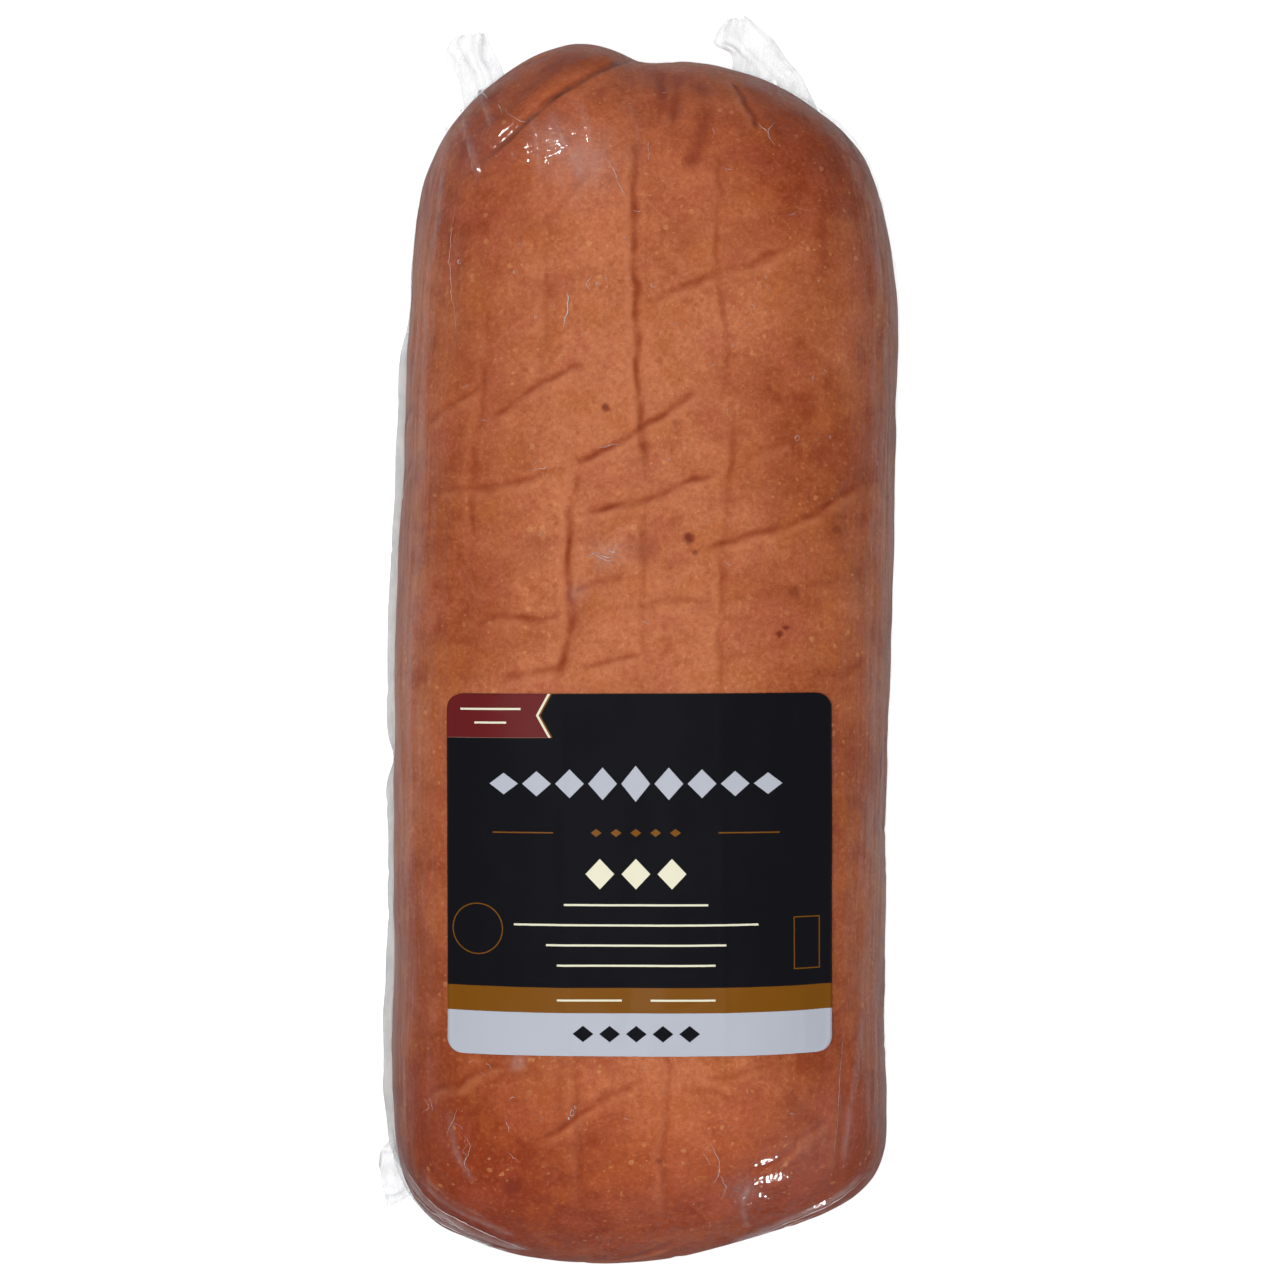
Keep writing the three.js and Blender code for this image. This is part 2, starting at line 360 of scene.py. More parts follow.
def net_marks(across_low, across_high, along_low, along_high, count):
    """Random creases on a face: lists like those above, first lengthwise and then slanting."""
    lengthwise, slanting = [], []
    for k in range(count):
        across = draw.uniform(across_low, across_high)
        along = draw.uniform(along_low, along_high)
        reach = draw.uniform(16, 34)
        bend = draw.uniform(-2.5, 2.5)
        lengthwise.append((draw.uniform(0.2, 0.6), across, along - reach, across + bend, along,
                           across, along + reach))
    for k in range(2 * count):
        across = draw.uniform(across_low, across_high)
        along = draw.uniform(along_low, along_high)
        reach = draw.uniform(7, 17)
        rise = reach * draw.uniform(0.15, 0.55)
        bend = draw.uniform(-1.5, 1.5)
        slanting.append((draw.uniform(0.3, 0.8), across - reach, along - rise, across, along + bend,
                         across + reach, along + rise))
    return lengthwise, slanting


SIDE_MARKS = [net_marks(18, 92, -140, 140, 9) for side in range(2)]
BACK_MARKS = net_marks(-38, 38, -135, 135, 7)
END_MARKS = [net_marks(-45, 45, 25, 90, 4) for end in range(2)]


# %% Signed distance to the nearest crease
NEAR = 9.0  # a crease is felt this far away, in millimetres


def eased(points, steps=5):
    """A smooth line (Catmull-Rom) through points: pairs, or across and along in turn."""
    p = np.reshape(points, (-1, 2))
    p = [2 * p[0] - p[1], *p, 2 * p[-1] - p[-2]]
    line = []
    for a, b, c, d in zip(p, p[1:], p[2:], p[3:]):
        for t in np.linspace(0, 1, steps, endpoint=False):
            line.append(0.5 * (2 * b + (c - a) * t + (2 * a - 5 * b + 4 * c - d) * t ** 2
                               + (3 * b - a - 3 * c + d) * t ** 3))
    return np.array([*line, p[-2]])


def soft_step(value, low, high):
    t = np.clip((value - low) / (high - low), 0, 1)
    return t * t * (3 - 2 * t)


def feel(flat, weight, marks, field):
    """Writes into field the signed distance to the strongest mark near each vertex, its strength
    there and its pull. flat holds the vertices' places in the plane of a face, and weight how far
    they belong to it."""
    distance, strength, most = field
    for force, *points in marks:
        line = eased(points)
        near = np.all((flat > line.min(0) - NEAR) & (flat < line.max(0) + NEAR), axis=1)
        where = np.flatnonzero(near & (weight > 0.01))
        if not len(where):
            continue
        start, span = line[:-1], np.diff(line, axis=0)
        length = np.linalg.norm(span, axis=1)
        past = np.concatenate([[0], np.cumsum(length)])
        away = flat[where][:, None] - start
        along = np.clip((away * span).sum(2) / length ** 2, 0, 1)
        gap = away - along[..., None] * span
        far = np.linalg.norm(gap, axis=2)
        pick = far.argmin(1)
        row = np.arange(len(where))
        side = np.sign(span[pick, 0] * gap[row, pick, 1] - span[pick, 1] * gap[row, pick, 0])
        done = (past[pick] + along[row, pick] * length[pick]) / past[-1]
        fade = soft_step(done, 0, 0.16) * (1 - soft_step(done, 0.84, 1)) * weight[where]
        pull = force * fade * np.exp(-(far[row, pick] / 4) ** 2)
        better = pull > most[where]
        chosen = where[better]
        most[chosen] = pull[better]
        distance[chosen] = (side * far[row, pick])[better]
        strength[chosen] = (force * fade * (1 - soft_step(far[row, pick], 5, NEAR)))[better]


def read_vertices(mesh):
    """The mesh's vertex places in millimetres, and its vertex normals."""
    places = np.empty(len(mesh.vertices) * 3)
    mesh.vertices.foreach_get("co", places)
    normals = np.empty(len(mesh.vertices) * 3)
    mesh.vertex_normals.foreach_get("vector", normals)
    return places.reshape(-1, 3) / MM, normals.reshape(-1, 3)


def crease_fields(places, normals):
    """The (distance, strength, most) arrays of both layers of creases, over all six faces."""
    wobble = [noise.noise_vector(Vector(place) / 7) + 0.5 * noise.noise_vector(Vector(place) / 2.6)
              for place in places]
    places = places + 1.0 * np.array(wobble)
    faces = [  # plane of the face, how its normal faces it, and its creases
        ((0, 1), normals[:, 2], (LENGTHWISE, SLANTING)),
        ((0, 1), -normals[:, 2], BACK_MARKS),
        ((2, 1), normals[:, 0], SIDE_MARKS[0]),
        ((2, 1), -normals[:, 0], SIDE_MARKS[1]),
        ((0, 2), normals[:, 1], END_MARKS[0]),
        ((0, 2), -normals[:, 1], END_MARKS[1]),
    ]
    fields = [tuple(np.zeros(len(places)) for value in range(3)) for layer in range(2)]
    for axes, facing, layers in faces:
        weight = soft_step(facing, 0.45, 0.75) if axes != (0, 1) else soft_step(facing, 0.25, 0.5)
        for marks, field in zip(layers, fields):
            feel(places[:, axes], weight, marks, field)
    return fields


def calm_jumps(mesh, places, field):
    """Takes the strength away where neighbours follow different creases: no line lies there."""
    distance, strength = field[:2]
    ends = np.empty(2 * len(mesh.edges), dtype=np.int32)
    mesh.edges.foreach_get("vertices", ends)
    first, second = ends.reshape(-1, 2).T
    span = np.linalg.norm(places[first] - places[second], axis=1)
    jump = np.abs(distance[first] - distance[second]) > 1.5 * span + 0.1
    strength[first[jump]] = 0
    strength[second[jump]] = 0


def refine(mesh, wanted):
    """Halves the quads whose vertices are wanted, a true or false value for each vertex."""
    bm = bmesh.new()
    bm.from_mesh(mesh)
    edges = [edge for edge in bm.edges if all(wanted[vert.index] for vert in edge.verts)]
    bmesh.ops.subdivide_edges(bm, edges=edges, cuts=1, use_grid_fill=True)
    bm.to_mesh(mesh)
    bm.free()


def feel_on_top(places, normals, marks, lowest=0.0, full=0.35):
    """The (distance, strength, most) arrays of marks on every face whose normal rises enough."""
    field = tuple(np.zeros(len(places)) for value in range(3))
    feel(places[:, :2], soft_step(normals[:, 2], lowest, full), marks, field)
    return field


def felt_on(mesh):
    """Places and normals of a mesh, and what its vertices feel of both layers and of the fold."""
    places, normals = read_vertices(mesh)
    fields = crease_fields(places, normals)
    for field in fields:
        calm_jumps(mesh, places, field)
    return places, normals, [*fields, feel_on_top(places, normals, [LOBE_FOLD])]


film_mesh = body_mesh.copy()
places, normals, fields = felt_on(body_mesh)
refine(body_mesh, sum((np.abs(field[0]) < 3.2) & (field[1] > 0.08) for field in fields) > 0)
places, normals, fields = felt_on(body_mesh)
near_crease = [int((field[1] > 0.05).sum()) for field in fields]
print("vertices near a crease:", near_crease, "of", len(places))

# %% [markdown]
# Now the relief. A crease is a valley about 4 mm wide with a low ridge on its lower side, where the
# meat was squeezed up. The deep fold at the blunt end is a much larger one, and the lobe beyond it
# stands proud. Slow noise gives the log its lumps. The back stays flat, because it lies on the
# table.

# %% Relief of the meat
CREASE_DEPTH, CREASE_WIDTH = 0.42, 1.2
RIDGE_RISE, RIDGE_WIDTH, RIDGE_OFF = 0.14, 1.5, 2.6
FOLD_DEPTH, FOLD_WIDTH = 0.8, 1.0
LOBE_RISE, LOBE_REACH = 0.7, 10
STREAK_WIDTH = 2.9
LUMPS = [(62, 3.0, 0.9), (24, 8.0, 0.45), (9, 5.0, 0.16)]  # size, seed and height
LUMPS_SINK = 0.6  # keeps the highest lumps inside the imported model's box


def lumps(places, size, seed):
    """Slow noise at each place, about -1 to 1, with blobs size millimetres across."""
    shift = Vector((seed, 2.3 * seed, -seed))
    return np.array([noise.noise(Vector(place) / size + shift) for place in places]) * 1.6


def press(mesh, places, normals, fields):
    """Pushes creases, fold and lumps into the mesh, and gives back how far each vertex went."""
    relief = np.zeros(len(places))
    for distance, strength, most in fields[:2]:
        relief -= CREASE_DEPTH * strength * np.exp(-(distance / CREASE_WIDTH) ** 2)
        relief += RIDGE_RISE * strength * np.exp(-((distance + RIDGE_OFF) / RIDGE_WIDTH) ** 2)
    far, strength, most = fields[2]
    relief -= FOLD_DEPTH * strength * np.exp(-(far / FOLD_WIDTH) ** 2)
    relief += LOBE_RISE * strength * soft_step(far, -0.5, 5.0) * np.exp(-np.abs(far) / LOBE_REACH)
    off_table = soft_step(places[:, 2], 2, 24)
    rough = sum(height * lumps(places, size, seed) for size, seed, height in LUMPS)
    relief += off_table * (rough - LUMPS_SINK)
    relief *= np.where(places[:, 2] < 3, off_table, 1)
    mesh.vertices.foreach_set("co", ((places + normals * relief[:, None]) * MM).ravel())
    mesh.update()
    return relief


def keep_values(mesh, name, values):
    """Stores one number for each vertex, for the materials to read."""
    attribute = mesh.attributes.new(name, "FLOAT", "POINT")
    attribute.data.foreach_set("value", values.astype(np.float32))


press(film_mesh, *felt_on(film_mesh))
relief = press(body_mesh, places, normals, fields)
faded = 0.78 + 0.5 * lumps(places, 5, 12.0)
for name, (distance, strength, most) in zip(("lengthwise", "slanting", "fold"), fields):
    keep_values(body_mesh, name + "_far", distance)
    keep_values(body_mesh, name + "_force", strength * np.clip(faded, 0.3, 1.2))
streak_far, streak_force, most = feel_on_top(places, normals, STREAKS, -0.4, 0.0)
streak = streak_force * np.exp(-(streak_far / STREAK_WIDTH) ** 2)
keep_values(body_mesh, "streak", streak * (0.75 + 0.45 * lumps(places, 7, 2.0)))
print("relief from", round(relief.min(), 2), "to", round(relief.max(), 2), "mm")

# %% [markdown]
# Smoked, ground and pressed ham is salmon inside and orange-brown outside. Most of its colour is
# built as it came about: slow clouds of deeper smoke, blotches the size of a muscle piece, cream
# flecks of fat and gristle, and small dark pits. The darker line in the bottom of each crease is
# partly smoke and juices that gathered there and partly painted shade, the paler band on the ridge
# beside it is a painted highlight, and the dark line of the deep fold is painted shade. The middle
# of the crown is painted paler and the sides deeper, painted light and shade. The two ends took
# more smoke than the middle.

# %% Meat
SMOKE_DEEP = (0.285, 0.062, 0.019)
SMOKE_MID = (0.385, 0.112, 0.043)
SMOKE_PALE = (0.51, 0.18, 0.082)
CREASE_SHADE = (0.72, 0.5, 0.4)
GOLDEN = (0.42, 0.13, 0.035)
ROSY = (0.4, 0.105, 0.058)
FAT = (0.6, 0.29, 0.11)
PIT = (0.14, 0.018, 0.009)
STREAK = (0.19, 0.026, 0.009)
FOLD = (0.13, 0.026, 0.011)
REDDENING = (0.85, 0.4, 0.22)
DARK_SPOTS = [  # across, along, radius and strength of the dark spots on the crown
    (11, 28, 2.4, 0.9), (13, 24, 1.3, 0.7), (-13, 64, 1.7, 0.8), (37, 2, 1.5, 0.9),
    (39, 4, 1.4, 0.9),
    (41, 14, 2.6, 0.6), (53, 32, 1.8, 0.5), (-34, -155, 4.5, 0.6), (7, -146, 1.4, 0.7),
    (-2, 25, 6.5, 0.35), (7, 60, 1.6, 0.4), (-32, 24, 7.0, 0.25),
]


def flecks(where, cell, radius, share, shift=(0, 0, 0)):
    """A mask of irregular flecks: about share of the cells hold one, of up to the given radius."""
    tree = where.id_data
    where = add(tree, "VectorMath", {0: where, 1: shift}).outputs[0]
    shake = add(tree, "TexNoise", {"Vector": where, "Scale": 0.9, "Detail": 2.0}).outputs["Color"]
    bent = add(tree, "VectorMath", {0: shake, 1: (1.1, 1.1, 1.1), 2: where},
               operation="MULTIPLY_ADD").outputs[0]
    cells = add(tree, "TexVoronoi", {"Vector": bent, "Scale": 1 / cell})
    odds = add(tree, "SeparateColor", {0: cells.outputs["Color"]})
    size = mask(odds.outputs[0], 1 - share, 1.0, 0.0, radius / cell)
    edge = sums("SUBTRACT", size, cells.outputs["Distance"])
    return mask(edge, -0.02, 0.05)


def crease_profile(tree, name, width, shift=0.0):
    """1 on the line of the creases of one layer, falling away over width millimetres."""
    off = apart(stored(tree, name + "_far"), -shift)
    return times(mask(off, width, 0.0), stored(tree, name + "_force"))


meat, tree, out = new_material("smoked_meat")
where = millimetres(tree)
smoke = cloud(where, 40, 6.0, 0.66)
blotch = cloud(where, 9, 6.0, 0.72, 31.0)
place = add(tree, "SeparateXYZ", {0: where})
across, along = place.outputs[0], place.outputs[1]
ends = mask(apart(along, -4), 98, 155)
mixed = sums("MULTIPLY_ADD", blotch, 0.5, times(smoke, 0.6))
# painted light and shade: the middle of the crown is made paler and the sides deeper
mixed = sums("ADD", mixed, mask(apart(across, -5), 14, 55, 0.15, -0.05))
mixed = sums("MULTIPLY_ADD", ends, mask(along, -100, 100, -0.1, -0.04), mixed)
near_left = sums("MULTIPLY_ADD", across, 1.2, along)
mixed = sums("MULTIPLY_ADD", mask(near_left, -115, -190), -0.12, mixed)
colour = blend(mask(mixed, 0.4, 0.57), SMOKE_DEEP, SMOKE_MID)
colour = blend(mask(mixed, 0.54, 0.74), colour, SMOKE_PALE)
hue = cloud(where, 15, 5.0, 0.65, 19.0)
colour = blend(mask(hue, 0.52, 0.64, 0.0, 0.5), colour, GOLDEN)
colour = blend(mask(hue, 0.47, 0.36, 0.0, 0.45), colour, ROSY)
reddened = times(ends, mask(along, -100, 100, 0.55, 0.4))
colour = blend(reddened, colour, REDDENING, "MULTIPLY")
grain = cloud(where, 1.3, 4.0, 0.7, 7.0)
colour = blend(mask(grain, 0.3, 0.7, 0.9, 0.0), colour, (0.8, 0.68, 0.6), "MULTIPLY")
colour = blend(mask(grain, 0.54, 0.8, 0.0, 0.25), colour, FAT)
speck = mask(cloud(where, 2.4, 6.0, 0.8, 63.0), 0.55, 0.68, 0.0, 0.6)
colour = blend(speck, colour, SMOKE_DEEP)
salt = cloud(where, 0.55, 2.0, 0.6, 3.0)
colour = blend(mask(salt, 0.4, 0.66, 0.5, 0.0), colour, (0.84, 0.76, 0.72), "MULTIPLY")
gathered = mask(cloud(where, 17, 3.0, 0.6, 55.0), 0.44, 0.6, 0.12, 1.0)
fat = flecks(where, 3.6, 0.9, 0.5)
fat_fine = flecks(where, 1.7, 0.5, 0.5, (40, 9, 21))
fat = times(sums("MAXIMUM", fat, fat_fine), gathered)
colour = blend(times(fat, 0.36), colour, FAT)
rusty = mask(cloud(where, 22, 3.0, 0.6, 77.0), 0.42, 0.6, 0.2, 1.0)
pits = flecks(where, 3.4, 1.15, 0.6, (11, 47, 5))
colour = blend(times(times(pits, rusty), 0.42), colour, SMOKE_DEEP)
shake = add(tree, "TexNoise", {"Vector": where, "Scale": 0.45, "Detail": 3.0}).outputs["Color"]
bent = add(tree, "VectorMath", {0: shake, 1: (2.2, 2.2, 0), 2: where}, operation="MULTIPLY_ADD")
flat = add(tree, "VectorMath", {0: bent.outputs[0], 1: (1, 1, 0)}, operation="MULTIPLY").outputs[0]
on_crown = mask(place.outputs[2], 55, 75)
for x, y, radius, force in DARK_SPOTS:
    far = add(tree, "VectorMath", {0: flat, 1: (x + 1.1, y + 1.1, 0)}, operation="DISTANCE")
    spot = mask(far.outputs["Value"], radius, radius * 0.25, 0, force)
    colour = blend(times(spot, on_crown), colour, PIT)
height = sums("MULTIPLY_ADD", blotch, 0.3, times(grain, 0.3))
for layer in ("lengthwise", "slanting"):
    line = crease_profile(tree, layer, 1.5)
    stain_and_painted_shade = crease_profile(tree, layer, 2.7)
    ridge = crease_profile(tree, layer, 2.0, 2.2)
    # real stain and painted shade: each crease darkens by smoke that gathered there and by painted
    # shade; the ridge beside it is painted paler, a painted highlight
    colour = blend(times(stain_and_painted_shade, 0.68), colour, SMOKE_DEEP)
    colour = blend(times(ridge, 0.4), colour, SMOKE_PALE)
    colour = blend(line, colour, CREASE_SHADE, "MULTIPLY")
    height = sums("MULTIPLY_ADD", line, -0.4, height)
colour = blend(mask(stored(tree, "streak"), 0.05, 0.85, 0.0, 0.75), colour, STREAK)
# painted shade: the deep fold is drawn dark
colour = blend(times(crease_profile(tree, "fold", 1.7), 0.85), colour, FOLD)
bump = add(tree, "Bump", {"Height": height, "Distance": 1.0 * MM, "Strength": 0.6})
shader = add(tree, "BsdfPrincipled", {
    "Base Color": colour, "Roughness": 0.5, "Specular IOR Level": 0.25, "Normal": bump.outputs[0],
    "Subsurface Weight": 0.12, "Subsurface Radius": (1.0, 0.35, 0.15), "Subsurface Scale": 2.5 * MM,
})
tree.links.new(shader.outputs[0], out.inputs[0])

ham = finished(body_mesh.copy(), "pressed_ham", meat)
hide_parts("ham")

# %% [markdown]
# Film drawn on by a vacuum lies on every crease. So its shape is the meat's shape moved outwards by
# less than half a millimetre, and cut in two at the seam, because the pack is made of an upper and
# a lower web. The cut edge is pulled outwards into the seal: a narrow bead round most of the pack
# and a wider fin along the left side. Where the spare film gathers at the corners it lies in
# pleats, and near the lamps' mirror images it is crumpled, which breaks them into small glints.

# %% Two webs of film
FILM_GAP = 0.4
FILM_THICK, EAR_THICK = 0.18, 0.1
PLEAT_WIDTH = 0.8
SEAL_GAP = 0.06
END_RADIUS = 76  # the log's middle line stops this far from its ends
PLEATS = [  # height in millimetres of each pleat of spare film, and its line
    (1.3, -71, -140, -67, -152, -60, -162, -50, -169, -38, -174, -26, -177),
    (1.2, -72, -148, -66, -160, -57, -168, -46, -173, -35, -178),
    (0.6, -68, -146, -60, -157, -50, -164, -38, -169, -30, -175),
    (0.5, -62, -152, -54, -160, -44, -165, -36, -170), (0.45, -56, -159, -47, -166, -41, -173),
    (0.9, -63, 152, -60, 143, -61, 128, -62, 112), (0.9, -52, 160, -49, 151, -46, 143),
    (0.7, -58, 156, -55, 146, -52, 136, -50, 126), (0.4, -36, 147, -34, 139, -33, 128),
    (0.5, -31, 149, -28, 142, -23, 133, -19, 124), (0.4, -24, 152, -20, 144, -17, 134),
    (0.35, -9, 152, -6, 142, -5, 133), (0.8, 44, 160, 54, 150, 62, 136, 66, 120),
    (0.6, 38, 163, 50, 152, 57, 140, 61, 128), (0.5, 70, 120, 71, 90, 71, 55),
    (0.9, 26, -175, 36, -170, 45, -165, 57, -159, 67, -150),
    (0.4, 63, -106, 62, -120, 60, -135, 59, -150), (0.45, 33, -150, 31, -160, 34, -170),
    (0.4, -52, -133, -50, -145, -44, -155),
]
CRUMPLED = [  # across, along, radius and height of the patches where the film is crumpled
    (-33, 136, 6, 0.32), (-26, 141, 5, 0.3), (31, -157, 7, 0.4), (41, -160, 4, 0.3),
    (9, -165, 4, 0.3),
]
CLOUDED_AND_PAINTED_SHEEN = [  # across, along, radius, strength; milky film, and painted sheen round the glints
    (-20, 133, 9, 0.05), (-30, 139, 6, 0.04), (-11.5, 23, 5, 0.035), (-33, -119, 1.8, 0.07),
    (-19.5, 12, 2.4, 0.04), (50, -140, 12, 0.02), (31, -155, 5, 0.03), (-56, 140, 10, 0.02),
]


def discs(places, patches):
    """Soft discs on the upper side, added up; each patch gives across, along, radius and force."""
    return sum(force * np.exp(-((places[:, 0] - x) ** 2 + (places[:, 1] - y) ** 2) / radius ** 2)
               for x, y, radius, force in patches) * (places[:, 2] > SEAM / MM)


for halving in range(3):
    film_places, film_normals = read_vertices(film_mesh)
    pleat_far, pleat_force, most = feel_on_top(film_places, film_normals, PLEATS, -0.1, 0.15)
    crumpled = discs(film_places, CRUMPLED)
    if halving == 0:
        refine(film_mesh, (np.abs(pleat_far) < 2.0) & (pleat_force > 0.05) | (crumpled > 0.05))
    elif halving == 1:
        refine(film_mesh, crumpled > 0.08)
pleat = pleat_force * np.exp(-(pleat_far / PLEAT_WIDTH) ** 2)
crumple = crumpled * (0.6 + lumps(film_places, 3.6, 6.0) + 0.4 * lumps(film_places, 1.5, 9.0))
film_places += film_normals * (FILM_GAP + pleat + np.clip(crumple, 0, 1))[:, None]
film_places[:, 2] = np.maximum(film_places[:, 2], FILM_THICK + 0.05)
film_mesh.vertices.foreach_set("co", (film_places * MM).ravel())
film_mesh.update()
pleat_haze = np.where(film_places[:, 1] < 0, 0.1, 0.05)
keep_values(film_mesh, "haze", np.clip(pleat * pleat_haze + discs(film_places, CLOUDED_AND_PAINTED_SHEEN), 0, 0.3))
film_tree = BVHTree.FromPolygons([v.co.copy() for v in film_mesh.vertices],
                                 [p.vertices[:] for p in film_mesh.polygons])


def seal_width(place):
    """Width of the seal at a place on the seam, and how far it is part of the wide fin."""
    x, y = place.x / MM, place.y / MM
    fin = soft_step(y, -172, -150) * (1 - soft_step(y, 78, 100)) * soft_step(-x, 60, 68)
    nick = math.exp(-((y + 38) / 5) ** 2)
    ragged = noise.noise(Vector((0.07 * y, 3, 0))) + 0.22 * noise.noise(Vector((0.45 * y, 9, 0)))
    swell = 0.5 + 0.5 * noise.noise(Vector((0.02 * y, 5, 0)))
    wide = 3.1 + 1.2 * swell + 0.35 * ragged - 2.0 * nick
    narrow = 0.7 + 0.3 * noise.noise(Vector((0.12 * x, 0.12 * y, 0)))
    return narrow + (wide - narrow) * fin, fin


def outwards(place):
    """The level way out from the log's middle line at a place."""
    middle = max(ham_low.y + END_RADIUS * MM, min(ham_high.y - END_RADIUS * MM, place.y))
    return Vector((place.x, place.y - middle, 0)).normalized()


def web(name, side):
    """One web of film, above the seam (side 1) or below it (side -1), with its half of the seal."""
    bm = bmesh.new()
    bm.from_mesh(film_mesh)
    haze = bm.verts.layers.float["haze"]
    cut = (0, 0, SEAM + side * SEAL_GAP * MM)
    bmesh.ops.bisect_plane(bm, geom=[*bm.verts, *bm.edges, *bm.faces], dist=0.02 * MM,
                           plane_co=cut, plane_no=(0, 0, side), clear_inner=True)
    rim = [edge for edge in bm.edges if edge.is_boundary]
    for share in (0.4, 0.6):
        made = bmesh.ops.extrude_edge_only(bm, edges=rim)["geom"]
        rim = [item for item in made if isinstance(item, bmesh.types.BMEdge)]
        for vert in [item for item in made if isinstance(item, bmesh.types.BMVert)]:
            width, fin = seal_width(vert.co)
            wave = noise.noise(vert.co / (14 * MM)) * fin
            vert.co += outwards(vert.co) * width * share * MM
            vert.co.z += 1.6 * wave * share * MM
            # the fin's inner ring gets the most haze, which the film shader paints grey: painted
            # shade on the fin
            vert[haze] = 0.3 + (0.68 if share < 0.5 else 0.4) * fin
    bmesh.ops.recalc_face_normals(bm, faces=bm.faces)
    return mesh_from(bm, name)


def give_thickness(piece, thickness):
    """Turns a sheet into a thin closed wall that grows outwards."""
    wall = piece.modifiers.new("wall", "SOLIDIFY")
    wall.thickness = thickness * MM
    wall.offset = 1
    settle(piece)


# %% [markdown]
# Clear film does three things to light. It lets nearly all of it through, it mirrors a little, more
# at a glancing angle, and where it is crumpled or sealed twice over it scatters and looks white. So
# its shader is mostly Transparent, with a Glossy part by Fresnel on the side that faces out, and a
# milky part where the haze value of the mesh is high. The Fresnel value is capped, because a rim
# that mirrors everything would wash out against a white table. Long shallow waves in the film
# stretch its mirror images into the streaks along the sides.

# %% Film
film, tree, out = new_material("clear_film")
where = millimetres(tree, (1, 0.16, 1))
waves = cloud(where, 7, 2.0, 0.5)
streaky = cloud(millimetres(tree, (1, 0.04, 1)), 1.6, 2.0, 0.6, 4.0)
height = sums("MULTIPLY_ADD", streaky, 0.6, waves)
bump = add(tree, "Bump", {"Height": height, "Distance": 0.6 * MM, "Strength": 0.35}).outputs[0]
gloss = add(tree, "BsdfGlossy", {"Color": (1, 1, 1, 1), "Roughness": 0.075, "Normal": bump})
through = add(tree, "BsdfTransparent", {"Color": (0.985, 0.985, 0.985, 1)})
fresnel = add(tree, "Fresnel", {"IOR": 1.42, "Normal": bump})
inner = add(tree, "NewGeometry").outputs["Backfacing"]
drawn = cloud(millimetres(tree, (1, 0.05, 1)), 2.2, 4.0, 0.7, 23.0)
glance = times(sums("MINIMUM", fresnel.outputs[0], 0.085), mask(drawn, 0.36, 0.64, 0.35, 1.45))
mirror = times(glance, sums("SUBTRACT", 1.0, inner))
clear = add(tree, "MixShader", {0: mirror, 1: through.outputs[0], 2: gloss.outputs[0]})
haze = stored(tree, "haze")
# painted shade: where the haze is highest, on the fin, the milky colour turns grey
milk_colour_with_painted_shade = blend(mask(haze, 0.62, 0.95), (0.78, 0.79, 0.81), (0.52, 0.5, 0.48))
milk = add(tree, "BsdfPrincipled", {"Base Color": milk_colour_with_painted_shade, "Roughness": 0.25, "Normal": bump})
cloudy = cloud(millimetres(tree, (1, 0.4, 1)), 4.0, 2.0, 0.6, 12.0)
least = mask(haze, 0.6, 0.9, 0.55, 0.88)  # the fin is more even than the pleats are
milky = times(haze, mask(cloudy, 0.36, 0.66, least, 1.05))
film_shader = add(tree, "MixShader", {0: milky, 1: clear.outputs[0], 2: milk.outputs[0]})
tree.links.new(film_shader.outputs[0], out.inputs[0])

for name, side, node in (("upper_web", 1, "upper_film"), ("lower_web", -1, "lower_film")):
    piece = finished(web(name, side), name, film)
    give_thickness(piece, FILM_THICK)
    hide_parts(node)
    print(name, len(piece.data.polygons), "faces")

# %% [markdown]
# Fine hairlines stand out on the film where it was nipped together, and a few small bubbles of air
# stayed under it. Both are far finer than the quads of the film, so they are meshes of their own: a
# hairline is a thin rib drawn along a line that was dropped onto the film, and a bubble is a thin
# ring or a low dome. Listed ones come first, then a seeded sprinkling of short hairlines.

